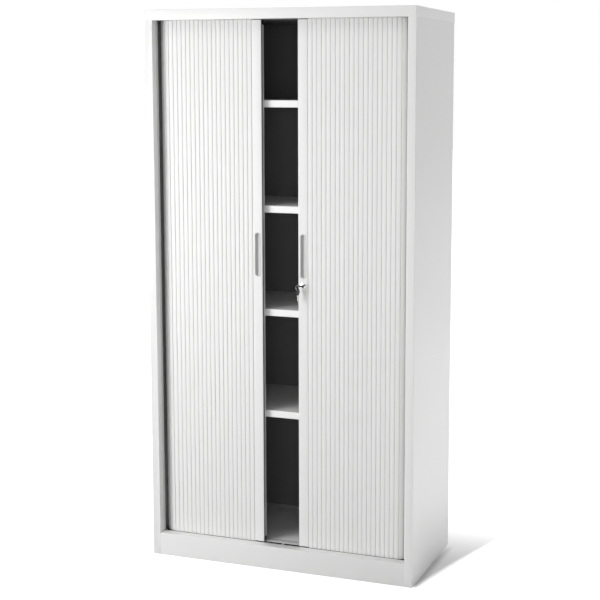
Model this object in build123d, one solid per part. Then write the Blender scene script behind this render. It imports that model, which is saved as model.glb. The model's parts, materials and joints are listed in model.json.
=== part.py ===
from build123d import *
from math import atan2, cos, degrees, pi, sin
import os

os.makedirs("parts", exist_ok=True)

# Tambour door cabinet: a steel cupboard with two doors of hooked slats that slide sideways in
# curved tracks and are stored between the side panels and the inner liners.
# Millimetres. X to the right as seen from the front, Y to the back, Z up, origin on the floor
# under the middle of the cabinet.

# Driving dimensions of the carcass
WIDTH = 1000
DEPTH = 470
HEIGHT = 1980
SHEET = 1.0
FOLD_RADIUS = 2.0
CAP_HEIGHT = 36
PLINTH_HEIGHT = 82
JAMB_FACE = 29
JAMB_RETURN = 38
SEAM = 0.2

# Driving dimensions of the doors and their tracks
DOOR_RECESS = 41.5
SLAT_PITCH = 16.8
SLAT_THICKNESS = 7.0
SLAT_COUNT = 26
BEND_START = 424
BEND_RADIUS = 52
LEFT_OPENING = 72
RIGHT_OPENING = 64
STILE_WIDTH = 36
STILE_DEPTH = 24
STILE_WALL = 2.0

TRACK_HALF_WIDTH = 6.4
TRACK_HEIGHT = 12
TRACK_WALL = 1.6
TRACK_START = 3.2
TRACK_END = 228

# Driving dimensions of the inside
SHELF_TOPS = (564, 932, 1300, 1668)
SHELF_HALF_WIDTH = 449.8
SHELF_FRONT_HEIGHT = 25
LINER_FACE = 452

# Driving dimensions of the grips and the lock
GRIP_HEIGHT = 158
GRIP_WIDTH = 24
GRIP_CENTRE = 1129
LOCK_HEIGHT = 1028

# Planes and edges worked out from them
FRONT = -DEPTH / 2
BACK = DEPTH / 2
SIDE_FACE = WIDTH / 2 - SHEET
JAMB_FRONT = FRONT + SHEET
JAMB_EDGE = SIDE_FACE - JAMB_FACE
RETURN_END = JAMB_FRONT + JAMB_RETURN
CAP_BOTTOM = HEIGHT - CAP_HEIGHT
BACK_FLANGE = BACK - 2 * SHEET
SLAT_FRONT = FRONT + DOOR_RECESS
DOOR_LINE = SLAT_FRONT + SLAT_THICKNESS / 2
BEND_CENTRE = DOOR_LINE + BEND_RADIUS
LEDGE_BACK = DOOR_LINE - 7
STILE_BACK = SLAT_FRONT + STILE_DEPTH
CARCASS_TOP = HEIGHT - 4


def block(x0, x1, y0, y1, z0, z1):
    """A rectangular solid between two corners."""
    centre = Pos((x0 + x1) / 2, (y0 + y1) / 2, (z0 + z1) / 2)
    return centre * Box(x1 - x0, y1 - y0, z1 - z0)


def folded_section(points, radius=FOLD_RADIUS):
    """The section of a folded sheet: its outer face runs through the points, metal on their left."""
    outer = FilletPolyline(*points, radius=radius)
    return make_face(offset(outer, amount=SHEET, side=Side.LEFT, closed=True).edges())


def folded_upright(points, z0, z1, radius=FOLD_RADIUS):
    """A folded sheet that stands, its section drawn as (x, y)."""
    return extrude(Plane.XY.offset(z0) * folded_section(points, radius), amount=z1 - z0)


def folded_across(points, half_width, radius=FOLD_RADIUS):
    """A folded sheet that runs from side to side, its section drawn as (y, z)."""
    section = Plane.YZ.offset(-half_width) * folded_section(points, radius)
    return extrude(section, amount=2 * half_width)


def upright_pill(width, height, y0, y1):
    """A round-ended bar that stands at x = 0, z = 0 and runs from y0 to y1."""
    outline = Rot(0, 0, 90) * SlotOverall(height, width)
    return extrude(Plane.XZ.offset(-y0) * outline, amount=y0 - y1)


def rod_along_y(radius, y0, y1):
    """A round bar at x = 0, z = 0 that runs from y0 to y1."""
    return extrude(Plane.XZ.offset(-y0) * Circle(radius), amount=y0 - y1)


def flipped(shape):
    """The same piece for the other side of the cabinet."""
    return mirror(shape, about=Plane.YZ)


def save(name, *pieces):
    """Writes one node, which may hold several separate solids."""
    solids = [solid for piece in pieces for solid in piece.solids()]
    shape = solids[0] if len(solids) == 1 else Compound(solids)
    shape.label = name
    export_step(shape, f"parts/{name}.step")


# Outer carcass

def top_cap():
    """A folded lid whose skirt laps over the panels, with a ledge above the doors."""
    tray = block(-WIDTH / 2, WIDTH / 2, FRONT, BACK, CAP_BOTTOM, HEIGHT)
    tray = fillet(tray.edges().filter_by(Axis.Z), FOLD_RADIUS + SHEET)
    tray = fillet(tray.faces().sort_by(Axis.Z)[-1].edges(), FOLD_RADIUS)
    tray = offset(tray, amount=-SHEET, openings=tray.faces().sort_by(Axis.Z)[0])
    ledge_half = JAMB_EDGE - SEAM
    ledge = block(-ledge_half, ledge_half, JAMB_FRONT, LEDGE_BACK, CAP_BOTTOM, CAP_BOTTOM + SHEET)
    upturn = block(
        -ledge_half, ledge_half, LEDGE_BACK - SHEET, LEDGE_BACK, CAP_BOTTOM, CAP_BOTTOM + 12
    )
    return tray + ledge + upturn


def side_panel():
    """The right side: jamb face, its return beside the door opening, side sheet, back flange."""
    back_flange_edge = SIDE_FACE - 19
    outline = [
        (JAMB_EDGE, JAMB_FRONT),
        (SIDE_FACE, JAMB_FRONT),
        (SIDE_FACE, BACK_FLANGE),
        (back_flange_edge, BACK_FLANGE),
    ]
    returned = [(JAMB_EDGE, RETURN_END)] + outline
    lower = folded_upright(outline, 0, PLINTH_HEIGHT)
    middle = folded_upright(returned, PLINTH_HEIGHT, CAP_BOTTOM)
    upper = folded_upright(outline, CAP_BOTTOM, CARCASS_TOP)
    hem = block(SIDE_FACE - 21, SIDE_FACE - SHEET, -190, 200, 0, SHEET)
    return lower + middle + upper + hem


def edge_trim():
    """The moulded strip that clips over the back edge of the jamb return."""
    lap = 10
    proud = 1.0
    outer = block(
        JAMB_EDGE - proud, JAMB_EDGE + SHEET + proud, RETURN_END - lap, RETURN_END + 1.5,
        PLINTH_HEIGHT + 1, CAP_BOTTOM - 1,
    )
    outer = fillet(outer.edges().filter_by(Axis.Z), 0.6)
    play = 0.05
    slot = block(
        JAMB_EDGE - play, JAMB_EDGE + SHEET + play, RETURN_END - 2 * lap, RETURN_END + play,
        0, HEIGHT,
    )
    return outer - slot


def plinth_front():
    """The kick plate between the jambs, with the ledge in front of the doors."""
    section = [
        (LEDGE_BACK, PLINTH_HEIGHT - 12),
        (LEDGE_BACK, PLINTH_HEIGHT),
        (JAMB_FRONT, PLINTH_HEIGHT),
        (JAMB_FRONT, 0),
        (JAMB_FRONT + 30, 0),
    ]
    return folded_across(section, JAMB_EDGE - SEAM)


def plinth_rear():
    """The channel that carries the back of the floor."""
    top = PLINTH_HEIGHT - 13
    section = [
        (BACK_FLANGE - 21, 0),
        (BACK_FLANGE - SHEET, 0),
        (BACK_FLANGE - SHEET, top),
        (BACK_FLANGE - 21, top),
    ]
    return folded_across(section, SIDE_FACE - 2 * SHEET - SEAM)


def back_panel():
    """The flat sheet riveted on the back flanges, its top edge inside the lid's skirt."""
    half_width = SIDE_FACE - 3
    sheet = block(-half_width, half_width, BACK - 2 * SHEET, BACK - SHEET, 3, CARCASS_TOP)
    return fillet(sheet.edges().filter_by(Axis.Y), 4)


def back_rivets():
    """Pop rivet heads down both edges of the back panel."""
    count = 9
    spacing = 220
    lowest = 90
    head = Plane.XZ.offset(-BACK + SHEET) * RegularPolygon(3.2, 12)
    head = extrude(head, amount=-SHEET, taper=30)
    columns = (-SIDE_FACE + 10, SIDE_FACE - 10)
    return [Pos(x, 0, lowest + spacing * n) * head for x in columns for n in range(count)]


# Floor and ceiling: a pan that carries the tracks, and a deck between them

def pan():
    """The floor pan: a sheet under the tracks with its sides and front turned down."""
    half = SIDE_FACE - SHEET - SEAM
    front = LEDGE_BACK + SEAM
    back = BACK_FLANGE - 2 * SHEET
    top = PLINTH_HEIGHT - TRACK_HEIGHT
    lip_back = BACK_FLANGE - 24
    lip_bottom = top - 20
    sheet = block(-half, half, front, back, top - SHEET, top)
    front_lip = block(-half, half, front, front + SHEET, lip_bottom, top)
    side_lip = block(half - SHEET, half, front, lip_back, lip_bottom, top)
    return sheet + front_lip + side_lip + flipped(side_lip)


def deck():
    """The floor of the lowest compartment, rounded at the front inside the door's bend."""
    track_gap = TRACK_HALF_WIDTH + 0.3
    front = DOOR_LINE + track_gap
    half = BEND_START + BEND_RADIUS - track_gap
    back = BACK - 6
    middle = (front + back) / 2
    outline = Pos(0, middle) * Rectangle(2 * half, back - front)
    corners = outline.vertices().group_by(Axis.Y)[0]
    outline = fillet(corners, BEND_RADIUS - track_gap)
    solid = extrude(Plane.XY.offset(PLINTH_HEIGHT - TRACK_HEIGHT) * outline, amount=TRACK_HEIGHT)
    return offset(solid, amount=-SHEET, openings=solid.faces().sort_by(Axis.Z)[0])


def for_the_top(shape):
    """The same piece turned over for the ceiling."""
    middle = (PLINTH_HEIGHT + CAP_BOTTOM) / 2
    return mirror(shape, about=Plane.XY.offset(middle))


# Levelling feet: studs in nuts under the floor pan, turned through capped holes in the deck

FOOT_X = 430
FOOT_YS = (-150, 190)
STUD_RADIUS = 4
STUD_BOTTOM = 3
STUD_TOP = PLINTH_HEIGHT - 5


def at_the_feet(shape):
    """A copy of the shape at each of the four feet."""
    return [Pos(x, y, 0) * shape for x in (-FOOT_X, FOOT_X) for y in FOOT_YS]


def hole_at_the_feet(radius):
    """The bores through pan or deck over the four feet."""
    bore = extrude(Plane.XY.offset(PLINTH_HEIGHT / 2) * Circle(radius), amount=PLINTH_HEIGHT)
    return at_the_feet(bore)


def foot_pad():
    """The moulded pad on the floor, with the seat for its stud."""
    pad = extrude(Circle(15), amount=7, taper=10)
    seat = extrude(Plane.XY.offset(STUD_BOTTOM) * Circle(STUD_RADIUS + 0.05), amount=10)
    return pad - seat


def foot_stud():
    """The stud with a hexagon socket in its top."""
    stud = extrude(Plane.XY.offset(STUD_BOTTOM) * Circle(STUD_RADIUS), amount=STUD_TOP - STUD_BOTTOM)
    socket = extrude(Plane.XY.offset(STUD_TOP - 5) * RegularPolygon(2.3, 6), amount=6)
    return stud - socket


def foot_nut():
    """The hexagon nut welded under the floor pan."""
    height = 6.5
    outline = RegularPolygon(7.5, 6) - Circle(STUD_RADIUS + 0.05)
    top = PLINTH_HEIGHT - TRACK_HEIGHT - SHEET
    return extrude(Plane.XY.offset(top - height) * outline, amount=height)


def foot_hole_cap():
    """The push-in cap over the hole in the deck."""
    sides = 24
    rim = Plane.XY.offset(PLINTH_HEIGHT) * RegularPolygon(9.5, sides)
    plug = Plane.XY.offset(PLINTH_HEIGHT - 4) * RegularPolygon(7.4, sides)
    return extrude(rim, amount=1.4, taper=30) + extrude(plug, amount=4)


# Tracks


def track_plan(half_width, start, end):
    """Plan of a strip that follows the right door's path, from x = start to y = end."""
    inner = BEND_RADIUS - half_width
    outer = BEND_RADIUS + half_width
    turn = (BEND_START, BEND_CENTRE)
    edges = [
        Line((start, DOOR_LINE - half_width), (BEND_START, DOOR_LINE - half_width)),
        CenterArc(turn, outer, -90, 90),
        Line((BEND_START + outer, BEND_CENTRE), (BEND_START + outer, end)),
        Line((BEND_START + outer, end), (BEND_START + inner, end)),
        Line((BEND_START + inner, end), (BEND_START + inner, BEND_CENTRE)),
        CenterArc(turn, inner, -90, 90),
        Line((BEND_START, DOOR_LINE + half_width), (start, DOOR_LINE + half_width)),
        Line((start, DOOR_LINE + half_width), (start, DOOR_LINE - half_width)),
    ]
    return make_face(edges)


def track():
    """The moulded channel that the slats run in, open at the top and along the middle."""
    base = PLINTH_HEIGHT - TRACK_HEIGHT
    channel = extrude(
        Plane.XY.offset(base) * track_plan(TRACK_HALF_WIDTH, TRACK_START, TRACK_END),
        amount=TRACK_HEIGHT,
    )
    groove = extrude(
        Plane.XY.offset(base + TRACK_WALL)
        * track_plan(TRACK_HALF_WIDTH - TRACK_WALL, 0, TRACK_END - TRACK_WALL),
        amount=TRACK_HEIGHT,
    )
    return channel - groove


def centre_stop():
    """The block between the two tracks that both doors close against."""
    half_length = TRACK_START - SEAM
    stop = block(
        -half_length, half_length, DOOR_LINE - TRACK_HALF_WIDTH, DOOR_LINE + TRACK_HALF_WIDTH,
        PLINTH_HEIGHT - TRACK_HEIGHT, PLINTH_HEIGHT,
    )
    return fillet(stop.faces().sort_by(Axis.Z)[-1].edges(), 0.6)


# Inside of the cabinet

CLIP_ROWS = (-125, 190)
CLIP_LEDGE_DROP = 20
SLOT_PITCH = 32
SLOTS_EACH_WAY = 1
LINER_FRONT = STILE_BACK + 4.5
LINER_BACK = BACK - 7


def clip_slots():
    """The openings in a liner that the shelf clips hook into, around each shelf."""
    slots = []
    for shelf_top in SHELF_TOPS:
        for step in range(-SLOTS_EACH_WAY, SLOTS_EACH_WAY + 1):
            z = shelf_top - CLIP_LEDGE_DROP + SLOT_PITCH * step
            for y in CLIP_ROWS:
                slots.append(
                    block(LINER_FACE - 1, LINER_FACE + 2 * SHEET, y - 5, y + 5, z - 2.6, z + 1)
                )
    return slots


def inner_liner():
    """The upright sheet that parts the stored door from the shelves, with its clip slots."""
    flange = 8
    section = [
        (LINER_FACE + flange, LINER_BACK),
        (LINER_FACE, LINER_BACK),
        (LINER_FACE, LINER_FRONT),
        (LINER_FACE + flange, LINER_FRONT),
    ]
    return folded_upright(section, PLINTH_HEIGHT, CAP_BOTTOM) - clip_slots()


def back_liner():
    """The inner back between the liners, its edges turned to the back."""
    half = LINER_FACE - SEAM
    face = BACK - 9
    section = [(-half, face + 5), (-half, face), (half, face), (half, face + 5)]
    return folded_upright(section, PLINTH_HEIGHT, CAP_BOTTOM)


def shelf(top):
    """A folded shelf: deep front edge with a return under it, turned-down sides and back."""
    front = LINER_FRONT
    back = BACK - 10
    section = [
        (back, top - 15),
        (back, top),
        (front, top),
        (front, top - SHELF_FRONT_HEIGHT),
        (front + 12, top - SHELF_FRONT_HEIGHT),
    ]
    body = folded_across(section, SHELF_HALF_WIDTH)
    side = block(
        SHELF_HALF_WIDTH - SHEET, SHELF_HALF_WIDTH, front + SHEET, back - SHEET,
        top - CLIP_LEDGE_DROP, top - SHEET / 2,
    )
    return body + side + flipped(side)


def shelf_clip(y, ledge_top):
    """A bent steel clip: ledge under the shelf, tongue through the slot, hook behind the liner."""
    gauge = 1.6
    half = 4
    hook = LINER_FACE + SHEET + 0.4
    ledge = block(LINER_FACE - 12, hook + gauge, y - half, y + half, ledge_top - gauge, ledge_top)
    leg = block(hook, hook + gauge, y - half, y + half, ledge_top - 9, ledge_top)
    return ledge + leg


def shelf_clips():
    """Four clips for each shelf."""
    clips = [shelf_clip(y, top - CLIP_LEDGE_DROP) for top in SHELF_TOPS for y in CLIP_ROWS]
    return clips + [flipped(clip) for clip in clips]


# Tambour: hooked slats, each turning on its neighbour's bead

SLAT_GAP = 0.9
BEAD_RADIUS = 1.45
SOCKET_RADIUS = 1.7
HOOK_SIDES = 8
NECK_HALF = 0.55
PIVOT_INSET = 1.95
SLAT_BODY_END = SLAT_PITCH - PIVOT_INSET - SLAT_GAP
TRACK_CLEARANCE = 1.4
SLAT_BOTTOM = PLINTH_HEIGHT - TRACK_HEIGHT + TRACK_WALL + TRACK_CLEARANCE
SLAT_TOP = CAP_BOTTOM + TRACK_HEIGHT - TRACK_WALL - TRACK_CLEARANCE


def bead_section(neck_start, pivot):
    """Section of the neck and bead that hold the next slat, on the line y = 0."""
    neck = Pos((neck_start + pivot) / 2, 0) * Rectangle(pivot - neck_start, 2 * NECK_HALF)
    return neck + Pos(pivot, 0) * RegularPolygon(BEAD_RADIUS, HOOK_SIDES)


def end_slat_section():
    """Section of the last slat, front towards -Y, turning on the pivot at the origin."""
    half = SLAT_THICKNESS / 2
    mouth_half = 1.2
    middle = (SLAT_BODY_END - PIVOT_INSET) / 2
    body = Pos(middle, 0) * Rectangle(SLAT_BODY_END + PIVOT_INSET, SLAT_THICKNESS)
    body = chamfer(body.vertices(), 0.9)
    mouth = Pos(-half / 2, 0) * Rectangle(half, 2 * mouth_half)
    return body - RegularPolygon(SOCKET_RADIUS, HOOK_SIDES, major_radius=False) - mouth


def slat_section():
    """Section of a slat with the bead for the next one."""
    return end_slat_section() + bead_section(SLAT_BODY_END - 1, SLAT_PITCH)


def path_point(distance):
    """The point on the right door's path at a distance from the middle of the cabinet."""
    quarter = BEND_RADIUS * pi / 2
    along_bend = distance - BEND_START
    if along_bend <= 0:
        return distance, DOOR_LINE
    if along_bend <= quarter:
        turn = along_bend / BEND_RADIUS
        return BEND_START + BEND_RADIUS * sin(turn), BEND_CENTRE - BEND_RADIUS * cos(turn)
    return BEND_START + BEND_RADIUS, BEND_CENTRE + along_bend - quarter


def tambour(opening):
    """The slats of the right door when its stile stands at a distance from the middle."""
    base = Plane.XY.offset(SLAT_BOTTOM)
    slat = extrude(base * slat_section(), amount=SLAT_TOP - SLAT_BOTTOM)
    end_slat = extrude(base * end_slat_section(), amount=SLAT_TOP - SLAT_BOTTOM)
    first_pivot = opening + STILE_PIVOT
    placed = []
    for n, piece in enumerate([slat] * (SLAT_COUNT - 1) + [end_slat]):
        x0, y0 = path_point(first_pivot + n * SLAT_PITCH)
        x1, y1 = path_point(first_pivot + (n + 1) * SLAT_PITCH)
        heading = degrees(atan2(y1 - y0, x1 - x0))
        placed.append(Pos(x0, y0, 0) * Rot(0, 0, heading) * piece)
    return placed


# Leading stiles, drawn with the closing edge at x = 0 and moved out to their place

STILE_BOTTOM = PLINTH_HEIGHT + 2
STILE_TOP = CAP_BOTTOM - 2
SLIDER_NOTCH = 16
STILE_MIDDLE = STILE_WIDTH / 2
STILE_PIVOT = STILE_WIDTH + SLAT_GAP + PIVOT_INSET
HOOK_FRONT = SLAT_FRONT + 18.4
HOOK_THICKNESS = 1.4
HOOK_SLOT_LOW = LOCK_HEIGHT - 5
HOOK_SLOT_HIGH = LOCK_HEIGHT + 28.5


def stile_section():
    """Box section with a bead along its outer edge for the first slat."""
    middle = (SLAT_FRONT + STILE_BACK) / 2
    outer = Pos(STILE_MIDDLE, middle) * Rectangle(STILE_WIDTH, STILE_DEPTH)
    outer = fillet(outer.vertices().group_by(Axis.Y)[0], 2)
    inner = Pos(STILE_MIDDLE, middle) * Rectangle(
        STILE_WIDTH - 2 * STILE_WALL, STILE_DEPTH - 2 * STILE_WALL
    )
    bead = Pos(0, DOOR_LINE) * bead_section(STILE_WIDTH - STILE_WALL / 2, STILE_PIVOT)
    return outer - inner + bead


def stile():
    """The stile with its grip opening and the notches that its sliders fill."""
    section = Plane.XY.offset(STILE_BOTTOM) * stile_section()
    body = extrude(section, amount=STILE_TOP - STILE_BOTTOM)
    grip_hole = upright_pill(
        GRIP_WIDTH - 3.4, GRIP_HEIGHT - 4.4, SLAT_FRONT - 1, SLAT_FRONT + STILE_WALL + 1
    )
    body -= Pos(STILE_MIDDLE, 0, GRIP_CENTRE) * grip_hole
    notch = block(
        -1, STILE_WIDTH - 5, SLAT_FRONT + STILE_WALL, STILE_BACK + 1,
        STILE_BOTTOM - 1, STILE_BOTTOM + SLIDER_NOTCH,
    )
    return body - notch - for_the_top(notch)


def hook_slot():
    """The slot in a stile's closing edge that the hook swings through."""
    return block(
        -1, STILE_WALL + 0.5, HOOK_FRONT - 0.8, HOOK_FRONT + HOOK_THICKNESS + 0.8,
        HOOK_SLOT_LOW, HOOK_SLOT_HIGH,
    )


def locking_stile():
    """The right stile, with the hole for the lock and the slot for its hook."""
    lock_hole = rod_along_y(9.1, SLAT_FRONT - 1, SLAT_FRONT + STILE_WALL + 1)
    return stile() - Pos(STILE_MIDDLE, 0, LOCK_HEIGHT) * lock_hole - hook_slot()


def buffer_recess(depth):
    """The strip of the closing edge that the buffer sits in."""
    return block(-1, depth, SLAT_FRONT + 3, SLAT_FRONT + 12, STILE_BOTTOM - 1, STILE_TOP + 1)


def catching_stile():
    """The left stile before it is flipped, with the recess for its buffer strip."""
    return stile() - hook_slot() - buffer_recess(1.2)


def buffer_strip():
    """The soft strip that the right stile closes against."""
    strip = block(
        -0.2, 1.2, SLAT_FRONT + 3.1, SLAT_FRONT + 11.9,
        STILE_BOTTOM + SLIDER_NOTCH + 1, STILE_TOP - SLIDER_NOTCH - 1,
    )
    return strip


def strike_plate():
    """The steel plate behind the left stile's edge that the hook catches on."""
    plate = block(
        STILE_WALL, STILE_WALL + 1.4, HOOK_FRONT - 6, HOOK_FRONT + 3,
        HOOK_SLOT_LOW - 11, HOOK_SLOT_HIGH + 11,
    )
    window = block(
        0, STILE_WALL + 2, HOOK_FRONT - 0.9, HOOK_FRONT + HOOK_THICKNESS + 0.9,
        HOOK_SLOT_LOW, HOOK_SLOT_HIGH,
    )
    return plate - window


def slider():
    """The moulded foot of a stile: block in the notch, spigot in the box, tongue in the track."""
    notch_top = STILE_BOTTOM + SLIDER_NOTCH
    shoulder = block(
        0.4, STILE_WIDTH - 5.4, SLAT_FRONT + STILE_WALL + SEAM, STILE_BACK - 0.5,
        STILE_BOTTOM, notch_top - SEAM,
    )
    spigot = block(
        STILE_WALL + 1, STILE_WIDTH - 6, SLAT_FRONT + STILE_WALL + 1, STILE_BACK - STILE_WALL - 1,
        notch_top - SEAM, notch_top + 15,
    )
    tongue = block(
        TRACK_START + 0.4, STILE_WIDTH - 12, SLAT_FRONT + 0.1, SLAT_FRONT + SLAT_THICKNESS - 0.1,
        SLAT_BOTTOM, STILE_BOTTOM,
    )
    return shoulder + spigot + tongue


def grip_cup():
    """The recessed pull: a raised rim on the stile and a round-ended cup behind it."""
    rim_height = 1.2
    cup_depth = 14
    wall = 1.4
    rim = upright_pill(GRIP_WIDTH, GRIP_HEIGHT, SLAT_FRONT - rim_height, SLAT_FRONT)
    rim = chamfer(rim.faces().sort_by(Axis.Y)[0].edges(), 0.6)
    body = upright_pill(GRIP_WIDTH - 3.8, GRIP_HEIGHT - 4.8, SLAT_FRONT, SLAT_FRONT + cup_depth)
    body = chamfer(body.faces().sort_by(Axis.Y)[-1].edges(), 3)
    hollow = upright_pill(
        GRIP_WIDTH - 3.8 - 2 * wall, GRIP_HEIGHT - 4.8 - 2 * wall,
        SLAT_FRONT - 2 * rim_height, SLAT_FRONT + cup_depth - wall,
    )
    hollow = chamfer(hollow.faces().sort_by(Axis.Y)[-1].edges(), 2.4)
    return Pos(STILE_MIDDLE, 0, GRIP_CENTRE) * (rim + body - hollow)


# Lock, drawn at the origin of the lock's axis and moved to the right stile

PLUG_RADIUS = 6.5
BARREL_BACK = SLAT_FRONT + 18
KEY_THICKNESS = 2.2
BOW_RADIUS = 12
BOW_CENTRE = SLAT_FRONT - 19.5
BOW_SLOT_OFFSET = 3.5
RING_RADIUS = 8.5
RING_WIRE = 0.8
RING_DROP = 6.0


def lock_housing():
    """The barrel with its round face on the stile."""
    face = rod_along_y(11, SLAT_FRONT - 2, SLAT_FRONT)
    face = chamfer(face.faces().sort_by(Axis.Y)[0].edges(), 0.6)
    barrel = rod_along_y(9, SLAT_FRONT, BARREL_BACK)
    bore = rod_along_y(PLUG_RADIUS + 0.05, SLAT_FRONT - 3, BARREL_BACK + 1)
    return face + barrel - bore


def lock_plug():
    """The plug with its keyway lying flat and the square that turns the hook."""
    plug = rod_along_y(PLUG_RADIUS, SLAT_FRONT - 2.2, BARREL_BACK + 0.2)
    square = block(-3, 3, BARREL_BACK + 0.2, BARREL_BACK + 2.1, -3, 3)
    keyway = block(
        -4.3, 4.3, SLAT_FRONT - 3, BARREL_BACK - 2, -KEY_THICKNESS / 2 - 0.2, KEY_THICKNESS / 2 + 0.2
    )
    screw_hole = rod_along_y(1.5, BARREL_BACK - 1, BARREL_BACK + 3)
    return plug + square - keyway - screw_hole


def hook_cam():
    """The hook bolt: it stands up when open and swings through the closing edge when locked."""
    hub = Circle(7)
    arm = Pos(0, 15) * Rectangle(9, 30)
    nose = Pos(-6.75, 26.5) * Rectangle(4.5, 7)
    hole = Rectangle(6.1, 6.1)
    outline = hub + arm + nose - hole
    corners = [v for v in outline.vertices() if v.Y > 20]
    outline = fillet(corners, 1.2)
    return extrude(Plane.XZ.offset(-HOOK_FRONT) * outline, amount=-HOOK_THICKNESS)


def cam_screw():
    """The screw that holds the hook on the plug."""
    head = rod_along_y(3.6, HOOK_FRONT + HOOK_THICKNESS + 0.3, HOOK_FRONT + HOOK_THICKNESS + 1.6)
    shank = rod_along_y(1.45, BARREL_BACK - 0.8, HOOK_FRONT + HOOK_THICKNESS + 0.3)
    return head + shank


def key_tang():
    """The tongue of the blade that the head is moulded round."""
    return block(-4, 4, BOW_RADIUS - 6, BOW_RADIUS, -0.5, 0.5)


def key_blade():
    """The metal of a flat key: tang, shoulder, and a blade with its cuts, pointing to +Y."""
    shoulder_end = BOW_RADIUS + 5
    blade_end = shoulder_end + 17.5
    shoulder = Pos(0, (BOW_RADIUS + shoulder_end) / 2) * Rectangle(10, shoulder_end - BOW_RADIUS)
    blade = Pos(0, (shoulder_end + blade_end) / 2) * Rectangle(8, blade_end - shoulder_end)
    blade = chamfer(blade.vertices().group_by(Axis.Y)[-1], 2.5)
    cuts = [
        Pos(4, shoulder_end + 4 + 3 * n) * Rot(0, 0, 45) * Rectangle(1.6, 1.6) for n in range(4)
    ]
    return extrude(shoulder + blade - cuts, amount=KEY_THICKNESS / 2, both=True) + key_tang()


def key_head():
    """The moulded head of a key: a round bow with a cross slot, and the collar of the blade."""
    collar = Pos(0, BOW_RADIUS / 2) * Rectangle(12, BOW_RADIUS)
    slot = Pos(0, -BOW_SLOT_OFFSET) * SlotOverall(18, 5.6)
    outline = Circle(BOW_RADIUS) + collar - slot
    return extrude(outline, amount=KEY_THICKNESS / 2, both=True) - key_tang()


def in_the_lock(shape):
    """A piece of the key in the lock, its bow lying flat."""
    return Pos(0, BOW_CENTRE, 0) * shape


def ring_place():
    """Centre of the ring: it hangs from the left rim of the bow's slot."""
    rim_middle = -(BOW_RADIUS ** 2 - BOW_SLOT_OFFSET ** 2) ** 0.5 / 2 - 4.5
    return Pos(rim_middle, BOW_CENTRE - BOW_SLOT_OFFSET, -RING_DROP)


def key_ring():
    """The ring through the key's bow, its wire an octagon in section."""
    wire = Plane.XZ * Pos(RING_RADIUS, 0) * RegularPolygon(RING_WIRE, 8)
    return ring_place() * Rot(90, 0, 0) * revolve(wire, axis=Axis.Z)


def on_the_ring(shape):
    """A piece of the spare key, which hangs edge-on from the bottom of the ring."""
    slot_top = BOW_SLOT_OFFSET + 2.8
    hang = RING_RADIUS + slot_top - RING_WIRE - 0.1
    return ring_place() * Pos(0, 0, -hang) * Rot(0, 90, 0) * Rot(0, 0, -90) * shape


# Nodes of the carcass
save("top_cap", top_cap())
save("right_side_panel", side_panel())
save("left_side_panel", flipped(side_panel()))
save("right_edge_trim", edge_trim())
save("left_edge_trim", flipped(edge_trim()))
save("plinth_front", plinth_front())
save("plinth_rear", plinth_rear())
save("back_panel", back_panel())
save("back_rivets", *back_rivets())
save("base_pan", pan() - hole_at_the_feet(STUD_RADIUS + 0.2))
save("base_deck", deck() - hole_at_the_feet(7.5))
save("top_pan", for_the_top(pan()))
save("top_deck", for_the_top(deck()))

save("foot_pads", *at_the_feet(foot_pad()))
save("foot_studs", *at_the_feet(foot_stud()))
save("foot_nuts", *at_the_feet(foot_nut()))
save("foot_hole_caps", *at_the_feet(foot_hole_cap()))

# Nodes of the tracks
save("bottom_track_right", track())
save("bottom_track_left", flipped(track()))
save("top_track_right", for_the_top(track()))
save("top_track_left", for_the_top(flipped(track())))
save("bottom_centre_stop", centre_stop())
save("top_centre_stop", for_the_top(centre_stop()))

# Nodes of the inside
save("right_inner_liner", inner_liner())
save("left_inner_liner", flipped(inner_liner()))
save("back_liner", back_liner())
for number, shelf_top in enumerate(SHELF_TOPS, start=1):
    save(f"shelf_{number}", shelf(shelf_top))
save("shelf_clips", *shelf_clips())

# Nodes of the right door
to_right = Pos(RIGHT_OPENING, 0, 0)
save("right_tambour", *tambour(RIGHT_OPENING))
save("right_stile", to_right * locking_stile())
save("right_grip_cup", to_right * grip_cup())
save("right_bottom_slider", to_right * slider())
save("right_top_slider", to_right * for_the_top(slider()))

# Nodes of the left door
to_left = Pos(-LEFT_OPENING, 0, 0)
save("left_tambour", *[flipped(slat) for slat in tambour(LEFT_OPENING)])
save("left_stile", to_left * flipped(catching_stile()))
save("left_grip_cup", to_left * flipped(grip_cup()))
save("left_bottom_slider", to_left * flipped(slider()))
save("left_top_slider", to_left * flipped(for_the_top(slider())))
save("left_buffer_strip", to_left * flipped(buffer_strip()))
save("strike_plate", to_left * flipped(strike_plate()))

# Nodes of the lock
to_lock = Pos(RIGHT_OPENING + STILE_MIDDLE, 0, LOCK_HEIGHT)
save("lock_housing", to_lock * lock_housing())
save("lock_plug", to_lock * lock_plug())
save("hook_cam", to_lock * hook_cam())
save("cam_screw", to_lock * cam_screw())
save("key", to_lock * in_the_lock(key_blade()))
save("key_head", to_lock * in_the_lock(key_head()))
save("key_ring", to_lock * key_ring())
save("spare_key", to_lock * on_the_ring(key_blade()))
save("spare_key_head", to_lock * on_the_ring(key_head()))
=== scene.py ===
import json
import math

import bmesh
import bpy
from mathutils import Matrix, Vector


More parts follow.
